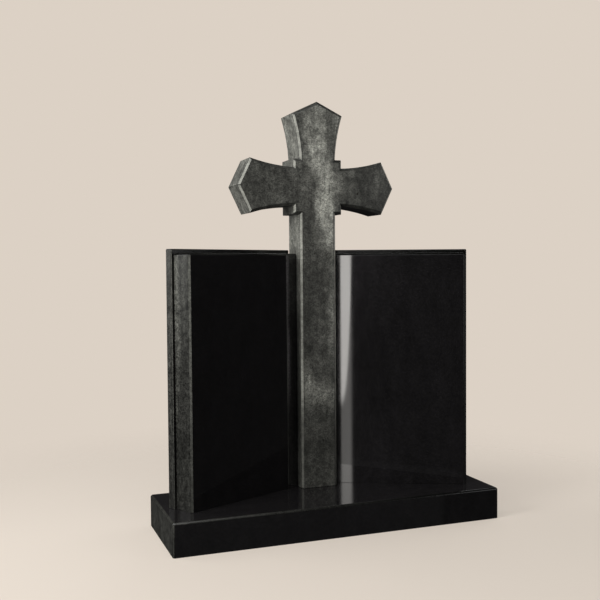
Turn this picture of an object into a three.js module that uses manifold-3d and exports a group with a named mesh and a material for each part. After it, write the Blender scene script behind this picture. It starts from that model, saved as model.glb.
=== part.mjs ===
// A book headstone: two polished granite book leaves set in a shallow V on a plinth, with a cross
// between them whose shaft stands on the same plinth.
// Millimetres, +Z up, front towards -Y, origin at the middle of the plinth's underside.

import * as THREE from 'three';
import { mergeVertices } from 'three/addons/utils/BufferGeometryUtils.js';
import Module from 'manifold-3d';

const wasm = await Module();
wasm.setup();

// Plinth
const PLINTH_WIDTH = 914;
const PLINTH_DEPTH = 300;
const PLINTH_HEIGHT = 86;
const PLINTH_ARRIS = 4;

// Joints between the stones: the bed under each upper stone, and the upright joint beside the shaft
const BED = 0.3;
const UPRIGHT_JOINT = 0.5;

// Cross
const SHAFT_WIDTH = 106;
const CROSS_FRONT_Y = 45;
const CROSS_THICKNESS = 104;
const CROSSING_WIDTH = 143;
const CROSSING_HEIGHT = 152;
const CROSSING_CENTRE_Z = 926;
const ARM_LENGTH = 123;
const ARM_END_WIDTH = 150;
const ARM_POINT = 36;
const ARM_HOLLOW = 4;
const ARM_CURVE_STEPS = 10;
const CROSS_ARRIS = 7;

// Book leaves: each is one slab, a thick block of pages in front of a thin cover that stands out
// past the pages at the outer end and at the top. The page fronts would meet at the fold, in the
// middle plane, if the shaft did not stand between them; page width is measured from there.
const LEAF_ANGLE = THREE.MathUtils.degToRad(25);
const FOLD_Y = 103.5;
const PAGE_WIDTH = 434;
const PAGE_HEIGHT = 655;
const PAGE_THICKNESS = 62;
const PAGE_ARRIS = 5;
const COVER_THICKNESS = 24;
const COVER_END_MARGIN = 8.5;
const COVER_TOP_MARGIN = 11;
const COVER_ARRIS = 2;
const COVER_LAP = 8;

// A box larger than any stone, for flat cuts
const REACH = 2000;

// Colours of the stones
const BLACK_GRANITE = { color: 0x17151a, roughness: 0.12, metalness: 0 };
const GREY_GRANITE = { color: 0x64635c, roughness: 0.35, metalness: 0 };

// Closed mesh to solid, for joining and cutting
function toSolid(geometry) {
  const bare = geometry.clone();
  bare.deleteAttribute('normal');
  bare.deleteAttribute('uv');
  const merged = mergeVertices(bare);
  return new wasm.Manifold(new wasm.Mesh({
    numProp: 3,
    vertProperties: Float32Array.from(merged.attributes.position.array),
    triVerts: Uint32Array.from(merged.index.array),
  }));
}

// Solid back to a mesh geometry
function toGeometry(solid) {
  const result = solid.getMesh();
  const geometry = new THREE.BufferGeometry();
  geometry.setAttribute('position', new THREE.BufferAttribute(result.vertProperties, 3));
  geometry.setIndex(new THREE.BufferAttribute(result.triVerts, 1));
  geometry.computeVertexNormals();
  return geometry;
}

// A box solid between two corners
function boxSolid(low, high) {
  const size = high.clone().sub(low);
  const middle = low.clone().add(high).multiplyScalar(0.5);
  const box = new THREE.BoxGeometry(size.x, size.y, size.z);
  box.translate(middle.x, middle.y, middle.z);
  return toSolid(box);
}

// An outline extruded by depth, with both rims chamfered inwards by arris
function chamferedExtrusion(outline, depth, arris) {
  return new THREE.ExtrudeGeometry(outline, {
    depth: depth - 2 * arris,
    bevelEnabled: true,
    bevelThickness: arris,
    bevelSize: arris,
    bevelOffset: -arris,
    bevelSegments: 1,
    curveSegments: ARM_CURVE_STEPS,
  }).translate(0, 0, arris);
}

// An upright block on a plan outline, chamfered round its top rim and left long below bottom
function uprightBlock(outline, bottom, top, arris) {
  const spare = 2 * arris;
  const block = chamferedExtrusion(outline, top - bottom + spare, arris);
  return toSolid(block.translate(0, 0, bottom - spare));
}

// Everything above a level
function above(level) {
  return boxSolid(new THREE.Vector3(-REACH, -REACH, level), new THREE.Vector3(REACH, REACH, REACH));
}

function plinthGeometry() {
  const x = PLINTH_WIDTH / 2;
  const y = PLINTH_DEPTH / 2;
  const corners = [
    [x, y - PLINTH_ARRIS], [x - PLINTH_ARRIS, y],
    [PLINTH_ARRIS - x, y], [-x, y - PLINTH_ARRIS],
    [-x, PLINTH_ARRIS - y], [PLINTH_ARRIS - x, -y],
    [x - PLINTH_ARRIS, -y], [x, PLINTH_ARRIS - y],
  ];
  const outline = new THREE.Shape(corners.map(([cx, cy]) => new THREE.Vector2(cx, cy)));
  const block = uprightBlock(outline, 0, PLINTH_HEIGHT, PLINTH_ARRIS);
  return toGeometry(block.intersect(above(0)));
}

// One flared and pointed arm, drawn from its right root corner round its point to its left one.
// The root is the middle of the arm's inner end and outward is the arm's direction.
function drawArm(outline, root, outward) {
  const sideways = new THREE.Vector2(outward.y, -outward.x);
  const at = (out, side) => root.clone().addScaledVector(outward, out).addScaledVector(sideways, side);
  const rootHalf = SHAFT_WIDTH / 2;
  const endHalf = ARM_END_WIDTH / 2;
  const chord = new THREE.Vector2(ARM_LENGTH, endHalf - rootHalf).normalize();
  const pullOut = ARM_LENGTH / 2 + 2 * ARM_HOLLOW * chord.y;
  const pullSide = (rootHalf + endHalf) / 2 - 2 * ARM_HOLLOW * chord.x;
  const start = at(0, rootHalf);
  const shoulder = at(ARM_LENGTH, endHalf);
  const point = at(ARM_LENGTH + ARM_POINT, 0);
  const farShoulder = at(ARM_LENGTH, -endHalf);
  const finish = at(0, -rootHalf);
  const pull = at(pullOut, pullSide);
  const farPull = at(pullOut, -pullSide);
  outline.lineTo(start.x, start.y);
  outline.quadraticCurveTo(pull.x, pull.y, shoulder.x, shoulder.y);
  outline.lineTo(point.x, point.y);
  outline.lineTo(farShoulder.x, farShoulder.y);
  outline.quadraticCurveTo(farPull.x, farPull.y, finish.x, finish.y);
}

// The cross as one stone: a straight shaft, a square crossing block whose corners show between the
// arms, and three equal arms
function crossGeometry() {
  const foot = PLINTH_HEIGHT + BED;
  const footSpare = foot - 2 * CROSS_ARRIS;
  const shaftHalf = SHAFT_WIDTH / 2;
  const blockHalf = CROSSING_WIDTH / 2;
  const blockTop = CROSSING_CENTRE_Z + CROSSING_HEIGHT / 2;
  const blockBottom = CROSSING_CENTRE_Z - CROSSING_HEIGHT / 2;
  const outline = new THREE.Shape();
  outline.moveTo(-shaftHalf, footSpare);
  outline.lineTo(shaftHalf, footSpare);
  outline.lineTo(shaftHalf, blockBottom);
  outline.lineTo(blockHalf, blockBottom);
  drawArm(outline, new THREE.Vector2(blockHalf, CROSSING_CENTRE_Z), new THREE.Vector2(1, 0));
  outline.lineTo(blockHalf, blockTop);
  drawArm(outline, new THREE.Vector2(0, blockTop), new THREE.Vector2(0, 1));
  outline.lineTo(-blockHalf, blockTop);
  drawArm(outline, new THREE.Vector2(-blockHalf, CROSSING_CENTRE_Z), new THREE.Vector2(-1, 0));
  outline.lineTo(-blockHalf, blockBottom);
  outline.lineTo(-shaftHalf, blockBottom);
  outline.closePath();
  const slab = chamferedExtrusion(outline, CROSS_THICKNESS, CROSS_ARRIS);
  slab.rotateX(Math.PI / 2);
  slab.translate(0, CROSS_FRONT_Y + CROSS_THICKNESS, 0);
  return toGeometry(toSolid(slab).intersect(above(foot)));
}

// One leaf as one stone. The side is 1 for the right leaf and -1 for the left one.
function leafGeometry(side) {
  const fold = new THREE.Vector2(0, FOLD_Y);
  const outward = new THREE.Vector2(Math.cos(LEAF_ANGLE), -Math.sin(LEAF_ANGLE));
  const backward = new THREE.Vector2(Math.sin(LEAF_ANGLE), Math.cos(LEAF_ANGLE));
  const at = (out, back) => fold.clone().addScaledVector(outward, out).addScaledVector(backward, back);
  const onCentre = (back) => at(-back * Math.tan(LEAF_ANGLE), back);
  const planShape = (points) => new THREE.Shape(points.map((p) => new THREE.Vector2(side * p.x, p.y)));

  const lapDepth = PAGE_THICKNESS + COVER_LAP;
  const pages = planShape([
    fold, at(PAGE_WIDTH - PAGE_ARRIS, 0), at(PAGE_WIDTH, PAGE_ARRIS),
    at(PAGE_WIDTH, lapDepth), onCentre(lapDepth),
  ]);

  const leafThickness = PAGE_THICKNESS + COVER_THICKNESS;
  const coverEnd = PAGE_WIDTH + COVER_END_MARGIN;
  const cover = planShape([
    onCentre(PAGE_THICKNESS),
    at(coverEnd - COVER_ARRIS, PAGE_THICKNESS), at(coverEnd, PAGE_THICKNESS + COVER_ARRIS),
    at(coverEnd, leafThickness - COVER_ARRIS), at(coverEnd - COVER_ARRIS, leafThickness),
    onCentre(leafThickness),
  ]);

  const bottom = PLINTH_HEIGHT + BED;
  const pageTop = bottom + PAGE_HEIGHT;
  const pageBlock = uprightBlock(pages, bottom, pageTop, PAGE_ARRIS);
  const coverBlock = uprightBlock(cover, bottom, pageTop + COVER_TOP_MARGIN, COVER_ARRIS);

  // The leaf ends at the upright joint, and its back is cut flush with the back of the cross
  const innerX = side * (SHAFT_WIDTH / 2 + UPRIGHT_JOINT);
  const outerX = side * REACH;
  const backY = CROSS_FRONT_Y + CROSS_THICKNESS;
  const room = boxSolid(
    new THREE.Vector3(Math.min(innerX, outerX), -REACH, bottom),
    new THREE.Vector3(Math.max(innerX, outerX), backY, REACH),
  );
  return toGeometry(pageBlock.add(coverBlock).intersect(room));
}

function stone(name, geometry, finish) {
  const mesh = new THREE.Mesh(geometry, new THREE.MeshStandardMaterial(finish));
  mesh.name = name;
  return mesh;
}

const headstone = new THREE.Group();
headstone.add(stone('plinth', plinthGeometry(), BLACK_GRANITE));
headstone.add(stone('left_book_leaf', leafGeometry(-1), BLACK_GRANITE));
headstone.add(stone('right_book_leaf', leafGeometry(1), BLACK_GRANITE));
headstone.add(stone('cross', crossGeometry(), GREY_GRANITE));

export default headstone;
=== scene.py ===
"""An open-book headstone: two polished black leaves on a plinth, with a grey granite cross between them."""

import math
from collections import namedtuple

import bmesh
import bpy
from mathutils import Matrix, Vector


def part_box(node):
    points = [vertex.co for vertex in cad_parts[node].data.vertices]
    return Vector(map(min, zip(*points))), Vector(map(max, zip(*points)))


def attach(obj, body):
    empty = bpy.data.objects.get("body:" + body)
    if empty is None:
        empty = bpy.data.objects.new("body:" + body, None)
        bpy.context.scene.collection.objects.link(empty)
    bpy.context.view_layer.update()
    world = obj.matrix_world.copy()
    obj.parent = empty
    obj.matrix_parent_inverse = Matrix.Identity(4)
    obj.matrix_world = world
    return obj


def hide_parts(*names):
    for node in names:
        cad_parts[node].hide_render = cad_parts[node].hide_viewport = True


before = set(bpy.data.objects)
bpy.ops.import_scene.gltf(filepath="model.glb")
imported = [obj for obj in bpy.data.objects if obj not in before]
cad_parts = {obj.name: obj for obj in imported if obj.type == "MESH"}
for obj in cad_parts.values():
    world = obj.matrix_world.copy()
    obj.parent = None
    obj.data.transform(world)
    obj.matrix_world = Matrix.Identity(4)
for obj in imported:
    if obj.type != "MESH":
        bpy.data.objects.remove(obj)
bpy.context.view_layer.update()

# The camera, in metres, degrees and pixels of a square picture
PICTURE_SIZE = 600
FOCAL_LENGTH = 884.4
PICTURE_CENTRE_X = 320
CAMERA_PLACE = Vector((-0.8805, -2.2530, 0.7074))
CAMERA_YAW = 21.037
CAMERA_DOWN = 2.227
CAMERA_ROLL = -0.372
SENSOR_WIDTH = 36

# Sizes of the stones, in metres and degrees, that place what shows on them
PLINTH_END_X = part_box("plinth")[1].x
PLINTH_TOP_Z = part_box("plinth")[1].z
LEAF_ANGLE = 25
FOLD_Y = 0.1035
PAGE_WIDTH = 0.434
# Where the painted highlight on each page's end face lies, back from the page's front.
PAINTED_HIGHLIGHT_BACK = 0.054
COVER_WIDTH = 0.4425
COVER_MIDDLE_BACK = 0.074
CROSS_FRONT_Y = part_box("cross")[0].y
SHAFT_HALF_WIDTH = 0.053
SHAFT_ARRIS = 0.007
ARRIS_AREA_REACH = 0.02
SIDES = (-1, 1)

# How the edges of the stones are eased, and how their faces are told apart by the way they look
EDGE_RADIUS = 0.0012
EDGE_SEGMENTS = 3
WELD_DISTANCE = 0.00001
FLAT_ANGLE = math.radians(0.4)
CREASE_ANGLE = math.radians(6)
ARRIS_ANGLE = math.radians(30)
NORMAL_WEIGHT = 100
SQUARE_ON = 0.88
UPRIGHT = 0.35
SMALL_FACE = 0.02

# The finishes of a stone, in the order of its materials
POLISHED, HONED, GROUND, EASED = range(4)

# The granite: its patterns, counted in a metre, and its colours
CRYSTALS_PER_METRE = 340.0
MOTTLE_PER_METRE = 75.0
CLOUDS_PER_METRE = (26.0, 26.0, 13.0)
STREAKS_PER_METRE = (110.0, 110.0, 7.0)
STIR_PER_METRE = 28.0
STIR_REACH = 0.06
SMEARS_PER_METRE = 7.0
GRAINS_PER_METRE = 900.0
GRAIN_DEPTH = 0.0004
GRANITE_IOR = 1.54
MIRROR_IOR = 1.80
BLACK_TINT = (1.0, 0.92, 0.96)
GREY_TINT = (1.0, 0.998, 0.875)

# The middle of a noise's values, and the ranges of noise, distance and upward facing that take effect
NOISE_MIDDLE = (0.5, 0.5, 0.5)
NOISE_RANGE = (0.28, 0.72)
SMEAR_RANGE = (0.3, 0.7)
AREA_FALL = (0.1, 1.0)
FACES_UP = (0.6, 0.95)
FACES_DOWN = (-0.8, -0.3)

# A soft light or dark area of the granite: its centre, its reach along each axis, and what it adds to the
# tone, as a share of it. A reach of EVERYWHERE sets no limit along that axis.
Area = namedtuple("Area", ["centre", "reach", "gain"])
EVERYWHERE = 9

# The backdrop, the room's own light and the floor
BACKDROP = (0.716, 0.638, 0.558)
AMBIENT = (0.022, 0.021, 0.021)
FLOOR_TONE = (0.40, 0.36, 0.315)
FLOOR_GLOW = 0.52
FLOOR_ROUGHNESS = 0.9
FLOOR_SPECULAR = 0.1
FLOOR_SIZE = 8
FLOOR_FADE = (0.6, 1.7)

# The softboxes. The front one is low and dim: it only gives the plinth's front something to mirror.
SOFTBOXES = {
    "key": dict(bearing=73, distance=2.5, height=1.0, width=1.0, tall=2.0, radiance=10.0, mirrored=False),
    "front": dict(bearing=0, distance=3.6, height=-0.98, width=4.4, tall=0.46, radiance=0.016),
    "left_back": dict(bearing=117, distance=2.2, height=1.6, width=1.2, tall=1.4, radiance=3.0, down=20),
    "right_front": dict(bearing=-46, distance=2.6, height=1.0, width=0.7, tall=1.6, radiance=2.0),
    "right": dict(bearing=-105, distance=2.4, height=1.1, width=1.4, tall=1.8, radiance=3.0, mirrored=False),
    "overhead": dict(bearing=37.6, distance=1.64, height=2.9, width=2.4, tall=1.8, radiance=3.0, down=90),
    "back": dict(bearing=-148, distance=2.6, height=2.0, width=1.6, tall=1.2, radiance=2.0, down=30),
}

# The strip that the right page mirrors. Its bend, step and edges are parts of its own height and width.
STRIP = dict(bearing=26.225, distance=2.9, height=0.175, width=0.082, tall=1.75, radiance=1.0)
STRIP_COLOUR = (1.0, 0.97, 0.93)
STRIP_RADIANCE = (1.04, 5.0)
STRIP_STEP = (0.29, 0.345)
STRIP_BEND = 0.71
STRIP_BEND_POWER = 3.0
STRIP_LEFT_EDGE = (0.0, 0.10)
STRIP_RIGHT_EDGE = (0.70, 1.0)


def add_node(tree, kind, sockets=None, **settings):
    """Adds a node. A socket's value is a plain value, or another node's output to link it to."""
    made = tree.nodes.new(kind)
    for name, value in settings.items():
        setattr(made, name, value)
    for name, value in (sockets or {}).items():
        if isinstance(value, bpy.types.NodeSocket):
            tree.links.new(value, made.inputs[name])
        else:
            made.inputs[name].default_value = value
    return made


def new_material(name):
    """An empty node material, with its tree."""
    material = bpy.data.materials.new(name)
    material.use_nodes = True
    material.node_tree.nodes.clear()
    return material, material.node_tree


def arithmetic(tree, operation, first, second):
    return add_node(tree, "ShaderNodeMath", {0: first, 1: second}, operation=operation).outputs[0]


def vector_arithmetic(tree, operation, first, second):
    return add_node(tree, "ShaderNodeVectorMath", {0: first, 1: second}, operation=operation).outputs[0]


def length(tree, vector):
    return add_node(tree, "ShaderNodeVectorMath", {0: vector}, operation="LENGTH").outputs["Value"]


def map_range(tree, value, source, target, kind="LINEAR"):
    """The value, taken from the source range to the target range and held inside it."""
    sockets = {
        "Value": value,
        "From Min": source[0],
        "From Max": source[1],
        "To Min": target[0],
        "To Max": target[1],
    }
    return add_node(tree, "ShaderNodeMapRange", sockets, interpolation_type=kind).outputs["Result"]


def noise(tree, place, scale, detail=3.0, roughness=0.5):
    sockets = {"Vector": place, "Scale": scale, "Detail": detail, "Roughness": roughness}
    return add_node(tree, "ShaderNodeTexNoise", sockets)


def vary(tree, tone, pattern, reach):
    """The tone, swung up and down by the reach, as a share of it, after a noise's pattern."""
    factor = map_range(tree, pattern.outputs["Fac"], NOISE_RANGE, (1.0 - reach, 1.0 + reach))
    return arithmetic(tree, "MULTIPLY", tone, factor)


def granite_pattern(tree, place, level, crystals, clouds, mottle, streaks):
    """The stone's tone: small crystals of many greys, under clouds, a finer mottle and upright streaks."""
    cells = add_node(tree, "ShaderNodeTexVoronoi", {"Vector": place, "Scale": CRYSTALS_PER_METRE})
    shade = add_node(tree, "ShaderNodeSeparateColor", {"Color": cells.outputs["Color"]}).outputs["Red"]
    tone = map_range(tree, shade, (0.0, 1.0), (level * (1.0 - crystals), level * (1.0 + crystals)))
    cloud_place = vector_arithmetic(tree, "MULTIPLY", place, CLOUDS_PER_METRE)
    tone = vary(tree, tone, noise(tree, cloud_place, 1.0, detail=4.0, roughness=0.55), clouds)
    tone = vary(tree, tone, noise(tree, place, MOTTLE_PER_METRE, roughness=0.6), mottle)
    streak_place = vector_arithmetic(tree, "MULTIPLY", place, STREAKS_PER_METRE)
    return vary(tree, tone, noise(tree, streak_place, 1.0, detail=2.0), streaks)


def stirred(tree, place):
    """The place, shifted about by a noise, which gives the areas an uneven outline."""
    values = noise(tree, place, STIR_PER_METRE, detail=4.0, roughness=0.6).outputs["Color"]
    centred = vector_arithmetic(tree, "SUBTRACT", values, NOISE_MIDDLE)
    shift = vector_arithmetic(tree, "MULTIPLY", centred, (STIR_REACH, STIR_REACH, STIR_REACH))
    return vector_arithmetic(tree, "ADD", place, shift)


def shade_areas(tree, tone, place, areas):
    """The tone with each area's gain: whole near its centre, and falling softly to none at its reach."""
    for area in areas:
        away = vector_arithmetic(tree, "SUBTRACT", place, area.centre)
        distance = length(tree, vector_arithmetic(tree, "DIVIDE", away, area.reach))
        factor = map_range(tree, distance, AREA_FALL, (1.0 + area.gain, 1.0), "SMOOTHSTEP")
        tone = arithmetic(tree, "MULTIPLY", tone, factor)
    return tone


def lighten_up_and_shade_down(tree, tone, up_lightening, painted_under_shade):
    """The tone, lightened where the stone faces up, and darkened by painted shade where it faces down."""
    normal = add_node(tree, "ShaderNodeNewGeometry").outputs["Normal"]
    up = add_node(tree, "ShaderNodeSeparateXYZ", {"Vector": normal}).outputs["Z"]
    lighter = map_range(tree, up, FACES_UP, (0.0, up_lightening), "SMOOTHSTEP")
    darker = map_range(tree, up, FACES_DOWN, (1.0 - painted_under_shade, 1.0), "SMOOTHSTEP")
    return arithmetic(tree, "MULTIPLY", arithmetic(tree, "ADD", tone, lighter), darker)


def granite(
    name, level, tint, crystals, clouds, mottle, roughness,
    streaks=0.0, grain=0.0, patches=(), bands=(), up_lightening=0.0, painted_under_shade=0.0, ior=GRANITE_IOR,
):
    """A granite material.

    level is how much light the plain stone gives back, and tint its colour. crystals, clouds, mottle and
    streaks say how far each pattern swings the tone. roughness is the range from its best to its dullest
    polish, and grain how rough it feels. patches are areas with a stirred outline, and bands areas with a
    plain one; many of them are painted light and shade. The two weights before ior lighten what faces up,
    and darken what faces down with painted shade.
    """
    material, tree = new_material(name)
    place = add_node(tree, "ShaderNodeTexCoord").outputs["Object"]
    tone = granite_pattern(tree, place, level, crystals, clouds, mottle, streaks)
    tone = shade_areas(tree, tone, stirred(tree, place), patches)
    tone = shade_areas(tree, tone, place, bands)
    tone = lighten_up_and_shade_down(tree, tone, up_lightening, painted_under_shade)
    colour = add_node(tree, "ShaderNodeValToRGB", {"Fac": tone})
    colour.color_ramp.elements[0].color = (0, 0, 0, 1)
    colour.color_ramp.elements[1].color = (*tint, 1)
    smears = noise(tree, place, SMEARS_PER_METRE, detail=5.0, roughness=0.65).outputs["Fac"]
    pits = noise(tree, place, GRAINS_PER_METRE, detail=2.0).outputs["Fac"]
    relief = add_node(tree, "ShaderNodeBump", {"Strength": grain, "Distance": GRAIN_DEPTH, "Height": pits})
    sockets = {
        "Base Color": colour.outputs["Color"],
        "Roughness": map_range(tree, smears, SMEAR_RANGE, roughness),
        "IOR": ior,
        "Normal": relief.outputs["Normal"],
    }
    shader = add_node(tree, "ShaderNodeBsdfPrincipled", sockets)
    add_node(tree, "ShaderNodeOutputMaterial", {"Surface": shader.outputs["BSDF"]})
    return material


def leaf_place(side, out, back, height):
    """A point of a leaf: out from the fold along the page, back from the page's front, and at a height."""
    turn = math.radians(LEAF_ANGLE)
    x = out * math.cos(turn) + back * math.sin(turn)
    y = FOLD_Y - out * math.sin(turn) + back * math.cos(turn)
    return (side * x, y, height)


def black_granite():
    """Black granite: a mirror polish with painted light on the right page and a painted reflection on the
    left page by the shaft, a honed finish with painted light that makes it paler towards the top and in
    bands on the end faces, ground upright arrises with painted light that makes them paler towards the top
    and on the left, and eased edges with a painted highlight along the plinth's left."""
    # Painted light: the right page, and the plinth beside it, are lighter near the fold, high up and low
    # down.
    painted_page_light = [
        Area((0.12, 0, 0.70), (0.15, EVERYWHERE, 0.26), 0.7),
        Area((0.12, 0, 0.16), (0.15, EVERYWHERE, 0.20), 0.35),
    ]
    # Painted reflection: a pale line on the left page by the gutter, where the page mirrors the shaft's lit
    # arris.
    painted_reflection_line = [
        Area(leaf_place(-1, out=0.0938, back=0, height=0.74), (0.0095, 0.0095, 0.42), 7.0),
        Area(leaf_place(-1, out=0.0899, back=0, height=0.42), (0.0085, 0.0085, 0.15), 4.0),
    ]
    # Painted light: the honed faces are paler towards the top.
    painted_top_light = [Area((0, 0, 0.76), (EVERYWHERE, EVERYWHERE, 0.42), 0.95)]
    # Painted light and highlights: a pale band by the back edge of each page's end face, a paler cover end
    # face, and paler plinth end faces near the bottom.
    painted_end_light = []
    for side in SIDES:
        page_end = leaf_place(side, out=PAGE_WIDTH, back=PAINTED_HIGHLIGHT_BACK, height=0.58)
        cover_end = leaf_place(side, out=COVER_WIDTH, back=COVER_MIDDLE_BACK, height=0.36)
        painted_end_light.append(Area(page_end, (0.018, 0.018, 0.40), 1.5))
        painted_end_light.append(Area(cover_end, (0.021, 0.021, 0.34), 0.6))
        painted_end_light.append(Area((side * PLINTH_END_X, 0, 0.04), (0.03, EVERYWHERE, 0.07), 0.5))
    # Painted light: the ground arrises are paler towards the leaf tops, and painted shade darkens them
    # towards the right.
    painted_arris_light = [
        Area((0, 0, 0.70), (EVERYWHERE, EVERYWHERE, 0.75), 2.5),
        Area((PLINTH_END_X, 0, 0.40), (0.60, EVERYWHERE, EVERYWHERE), -0.85),
    ]
    # Painted highlight: the eased edges along the plinth's top are pale, palest at its left.
    painted_edge_highlight = [Area((-PLINTH_END_X, 0, PLINTH_TOP_Z), (0.70, EVERYWHERE, 0.08), 6.0)]
    polished = granite(
        "black_granite_polished", level=0.0086, tint=BLACK_TINT, crystals=0.3, clouds=0.25, mottle=0.15,
        roughness=(0.02, 0.045), patches=painted_page_light, bands=painted_reflection_line, up_lightening=0.0045, ior=MIRROR_IOR,
    )
    honed = granite(
        "black_granite_honed", level=0.0185, tint=GREY_TINT, crystals=0.7, clouds=0.4, mottle=0.5,
        streaks=0.3, roughness=(0.36, 0.48), grain=0.15, patches=painted_top_light, bands=painted_end_light,
    )
    ground = granite(
        "black_granite_ground", level=0.030, tint=GREY_TINT, crystals=0.3, clouds=0.3, mottle=0.4,
        roughness=(0.45, 0.55), grain=0.2, patches=painted_arris_light,
    )
    eased = granite(
        "black_granite_eased", level=0.004, tint=GREY_TINT, crystals=0.3, clouds=0.2, mottle=0.3,
        roughness=(0.18, 0.26), grain=0.1, patches=painted_edge_highlight,
    )
    return [polished, honed, ground, eased]


def cross_area(x, height, across, tall, gain):
    """An area of the cross, given as it is seen from the front. It goes right through the stone."""
    return Area((x, 0, height), (across, EVERYWHERE, tall), gain)


def arris_area(side, height, tall, gain):
    """An area of one of the shaft's upright front arrises."""
    x = SHAFT_HALF_WIDTH - SHAFT_ARRIS / 2
    y = CROSS_FRONT_Y + SHAFT_ARRIS / 2
    return Area((side * x, y, height), (ARRIS_AREA_REACH, ARRIS_AREA_REACH, tall), gain)


def grey_granite():
    """Grey granite: a dark and cloudy polished front, whose light and dark areas are partly the stone's own
    clouding and partly painted reflection, with painted shade lower down; paler honed sides with painted
    shade where the shaft meets the leaves, under the arms and lower down, and some painted light; ground
    upright arrises that are palest, with painted light and shade along the shaft and painted shade towards
    the bottom; and dark eased edges.

    The areas of its front and sides are listed from the top down, as x, height, reach across, reach up and
    down, and gain.
    """
    # The front's light and dark areas: partly the stone's own clouding, partly painted reflection; the last,
    # low on the shaft, is painted shade.
    front = [
        cross_area(0.062, 1.11, 0.034, 0.10, 1.2),
        cross_area(-0.009, 1.10, 0.052, 0.17, 2.5),
        cross_area(0.010, 0.97, 0.110, 0.13, 1.15),
        cross_area(0.030, 0.90, 0.045, 0.16, 1.15),
        cross_area(0.024, 0.82, 0.056, 0.11, 2.5),
        cross_area(0.048, 0.745, 0.032, 0.060, 0.8),
        cross_area(0.046, 0.60, 0.034, 0.20, 1.3),
        cross_area(0.030, 0.485, 0.050, 0.11, 0.4),
        cross_area(-0.044, 0.395, 0.036, 0.080, 1.0),
        cross_area(-0.020, 0.362, 0.060, 0.065, 1.2),
        cross_area(0.030, 0.340, 0.060, 0.055, 1.0),
        cross_area(0, 0.14, 0.30, 0.24, -0.20),
    ]
    # Painted shade and light on the honed sides: darker at the left arm's end, in the shade of the left arm
    # and lower down, and lighter on the shaft's left just above the leaves.
    sides = [
        cross_area(-0.215, 0.955, 0.05, 0.06, -0.4),
        cross_area(-0.072, 0.862, 0.03, 0.035, -0.55),
        cross_area(-SHAFT_HALF_WIDTH, 0.790, 0.03, 0.070, 0.30),
        cross_area(0, 0.10, 0.30, 0.60, -0.4),
    ]
    # Painted shade in the corners where the shaft meets the leaves.
    painted_corner_shade = [Area((side * SHAFT_HALF_WIDTH, 0.10, 0.36), (0.08, 0.08, 0.55), -0.93) for side in SIDES]
    # Painted shade: the ground arrises are darker towards the bottom of the cross.
    painted_foot_shade = [cross_area(0, 0.08, 0.30, 0.30, -0.55)]
    # Painted light and shade on the shaft's upright front arrises: lighter on the right, and lighter, then
    # darker lower down, on the left.
    arrises = [
        arris_area(1, 0.62, 0.40, 1.2),
        arris_area(-1, 0.380, 0.055, 0.28),
        arris_area(-1, 0.255, 0.095, -0.50),
    ]
    polished = granite(
        "grey_granite_polished", level=0.078, tint=GREY_TINT, crystals=0.48, clouds=0.42, mottle=0.44,
        streaks=0.2, roughness=(0.26, 0.38), grain=0.1, patches=front,
    )
    # The honed sides darken with painted shade where they face down.
    honed = granite(
        "grey_granite_honed", level=0.165, tint=GREY_TINT, crystals=0.5, clouds=0.35, mottle=0.5,
        streaks=0.2, roughness=(0.38, 0.50), grain=0.2, patches=sides, bands=painted_corner_shade, painted_under_shade=0.96,
    )
    ground = granite(
        "grey_granite_ground", level=0.285, tint=GREY_TINT, crystals=0.2, clouds=0.2, mottle=0.3,
        roughness=(0.40, 0.55), grain=0.2, patches=painted_foot_shade, bands=arrises,
    )
    eased = granite(
        "grey_granite_eased", level=0.052, tint=GREY_TINT, crystals=0.3, clouds=0.42, mottle=0.5,
        streaks=0.2, roughness=(0.30, 0.42), grain=0.1,
    )
    return [polished, honed, ground, eased]


def looks_along(face, ways):
    return any(face.normal.dot(way) > SQUARE_ON for way in ways)


def finish_of(face, polished_ways, honed_ways):
    """A face's finish: by the way it looks, or else ground on an upright arris and eased on what is left."""
    if looks_along(face, polished_ways):
        return POLISHED if face.calc_area() > SMALL_FACE else EASED
    if looks_along(face, honed_ways):
        return HONED
    return GROUND if abs(face.normal.z) < UPRIGHT else EASED


def stone_piece(node, name, materials, polished_ways, honed_ways):
    """A stone that stands for a CAD node: the same faces, with their edges eased to a small radius."""
    work = bmesh.new()
    work.from_mesh(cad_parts[node].data)
    bmesh.ops.remove_doubles(work, verts=work.verts, dist=WELD_DISTANCE)
    bmesh.ops.dissolve_limit(work, angle_limit=FLAT_ANGLE, verts=work.verts, edges=work.edges)
    work.normal_update()
    for face in work.faces:
        face.material_index = finish_of(face, polished_ways, honed_ways)
        face.smooth = True
    for edge in work.edges:
        edge.smooth = edge.calc_face_angle(0) < CREASE_ANGLE
    bmesh.ops.bevel(
        work,
        geom=[edge for edge in work.edges if edge.calc_face_angle(0) > ARRIS_ANGLE],
        offset=EDGE_RADIUS,
        offset_type="OFFSET",
        segments=EDGE_SEGMENTS,
        profile=0.5,
        affect="EDGES",
        clamp_overlap=True,
        material=EASED,
    )
    mesh = bpy.data.meshes.new(name)
    work.to_mesh(mesh)
    work.free()
    for material in materials:
        mesh.materials.append(material)
    piece = bpy.data.objects.new(name, mesh)
    bpy.context.scene.collection.objects.link(piece)
    shading = piece.modifiers.new("even_shading", "WEIGHTED_NORMAL")
    shading.weight = NORMAL_WEIGHT
    shading.keep_sharp = True
    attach(piece, "root")
    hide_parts(node)


def leaf_ways(side):
    """The directions that a leaf's faces look in: out of its page, and along it to its end."""
    turn = math.radians(LEAF_ANGLE)
    page = Vector((-side * math.sin(turn), -math.cos(turn), 0))
    end = Vector((side * math.cos(turn), -math.sin(turn), 0))
    return page, end


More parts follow.
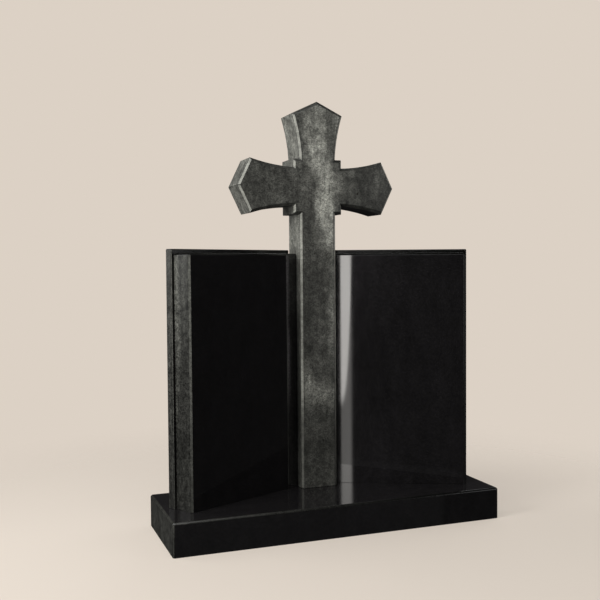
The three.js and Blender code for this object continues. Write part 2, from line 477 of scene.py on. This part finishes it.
def make_stones():
    """The four stones, each with the ways that its polished and its honed faces look."""
    right = Vector((1, 0, 0))
    back = Vector((0, 1, 0))
    up = Vector((0, 0, 1))
    black = black_granite()
    grey = grey_granite()
    stone_piece("plinth", "polished_plinth", black, [-back, up], [right, -right, back])
    for side, name in zip(SIDES, ("left", "right")):
        page, end = leaf_ways(side)
        node = f"{name}_book_leaf"
        honed_ways = [end, -side * right, up, -page, back]
        stone_piece(node, f"polished_{node}", black, [page], honed_ways)
    honed_ways = [right, -right, up, -up, back]
    stone_piece("cross", "granite_cross", grey, [-back], honed_ways)


def make_floor():
    """A pale floor that fades into the backdrop away from the stone."""
    mesh = bpy.data.meshes.new("floor")
    half = FLOOR_SIZE / 2
    corners = [(-half, -half, 0), (half, -half, 0), (half, half, 0), (-half, half, 0)]
    mesh.from_pydata(corners, [], [(0, 1, 2, 3)])
    floor = bpy.data.objects.new("floor", mesh)
    bpy.context.scene.collection.objects.link(floor)
    material, tree = new_material("pale_floor")
    place = add_node(tree, "ShaderNodeTexCoord").outputs["Object"]
    faded = map_range(tree, length(tree, place), FLOOR_FADE, (0.0, 1.0), "SMOOTHSTEP")
    sockets = {
        "Base Color": (*FLOOR_TONE, 1),
        "Roughness": FLOOR_ROUGHNESS,
        "Specular IOR Level": FLOOR_SPECULAR,
        "Emission Color": (*BACKDROP, 1),
        "Emission Strength": FLOOR_GLOW,
    }
    matt = add_node(tree, "ShaderNodeBsdfPrincipled", sockets)
    clear = add_node(tree, "ShaderNodeBsdfTransparent")
    blend = add_node(tree, "ShaderNodeMixShader", {0: faded, 1: matt.outputs[0], 2: clear.outputs[0]})
    add_node(tree, "ShaderNodeOutputMaterial", {"Surface": blend.outputs[0]})
    mesh.materials.append(material)
    floor.visible_glossy = False
    floor.visible_diffuse = False
    floor.visible_shadow = False


def make_world():
    """A pale backdrop for the eye, and a dim room for the polished stone to reflect."""
    world = bpy.data.worlds.new("studio")
    world.use_nodes = True
    tree = world.node_tree
    tree.nodes.clear()
    backdrop = add_node(tree, "ShaderNodeBackground", {"Color": (*BACKDROP, 1), "Strength": 1.0})
    ambient = add_node(tree, "ShaderNodeBackground", {"Color": (*AMBIENT, 1), "Strength": 1.0})
    seen = add_node(tree, "ShaderNodeLightPath").outputs["Is Camera Ray"]
    blend = add_node(tree, "ShaderNodeMixShader", {0: seen, 1: ambient.outputs[0], 2: backdrop.outputs[0]})
    add_node(tree, "ShaderNodeOutputWorld", {"Surface": blend.outputs[0]})
    bpy.context.scene.world = world


def softbox(name, bearing, distance, height, width, tall, radiance, down=0, mirrored=True):
    """A soft rectangular light that the camera doesn't see. Glossy stone mirrors it, unless told not to.

    It stands at a bearing in degrees to the left of the front, and faces the stone, turned down by an angle.
    """
    light = bpy.data.lights.new(name, "AREA")
    light.shape = "RECTANGLE"
    light.size = width
    light.size_y = tall
    light.energy = radiance * width * tall * math.pi
    lamp = bpy.data.objects.new(name, light)
    around = Matrix.Rotation(-math.radians(bearing), 4, "Z")
    out = Matrix.Translation((0, -distance, height))
    face = Matrix.Rotation(math.radians(90 - down), 4, "X")
    lamp.matrix_world = around @ out @ face
    lamp.visible_camera = False
    lamp.visible_glossy = mirrored
    bpy.context.scene.collection.objects.link(lamp)
    return light


def strip_light():
    """A narrow upright softbox by the camera: bright above a curving line, dim below, soft at its sides."""
    light = softbox("strip", **STRIP)
    light.use_nodes = True
    tree = light.node_tree
    tree.nodes.clear()
    place = add_node(tree, "ShaderNodeNewGeometry").outputs["Parametric"]
    part = add_node(tree, "ShaderNodeSeparateXYZ", {"Vector": place})
    across = part.outputs["X"]
    along = part.outputs["Y"]
    curve = arithmetic(tree, "POWER", across, STRIP_BEND_POWER)
    above = arithmetic(tree, "SUBTRACT", along, arithmetic(tree, "MULTIPLY", curve, STRIP_BEND))
    glow = map_range(tree, above, STRIP_STEP, STRIP_RADIANCE, "SMOOTHSTEP")
    left_edge = map_range(tree, across, STRIP_LEFT_EDGE, (0.0, 1.0), "SMOOTHSTEP")
    right_edge = map_range(tree, across, STRIP_RIGHT_EDGE, (1.0, 0.0), "SMOOTHSTEP")
    strength = arithmetic(tree, "MULTIPLY", glow, arithmetic(tree, "MULTIPLY", left_edge, right_edge))
    shine = add_node(tree, "ShaderNodeEmission", {"Color": (*STRIP_COLOUR, 1), "Strength": strength})
    add_node(tree, "ShaderNodeOutputLight", {"Surface": shine.outputs[0]})


def make_lights():
    for name, stand in SOFTBOXES.items():
        softbox(name, **stand)
    strip_light()


def make_camera():
    data = bpy.data.cameras.new("camera")
    data.sensor_width = SENSOR_WIDTH
    data.lens = FOCAL_LENGTH * SENSOR_WIDTH / PICTURE_SIZE
    data.shift_x = 0.5 - PICTURE_CENTRE_X / PICTURE_SIZE
    camera = bpy.data.objects.new("camera", data)
    yaw = Matrix.Rotation(-math.radians(CAMERA_YAW), 4, "Z")
    tilt = Matrix.Rotation(math.radians(90 - CAMERA_DOWN), 4, "X")
    roll = Matrix.Rotation(math.radians(CAMERA_ROLL), 4, "Z")
    camera.matrix_world = Matrix.Translation(CAMERA_PLACE) @ yaw @ tilt @ roll
    bpy.context.scene.collection.objects.link(camera)
    bpy.context.scene.camera = camera


make_camera()
make_world()
make_lights()
make_floor()
make_stones()
bpy.context.scene.view_settings.view_transform = "Standard"
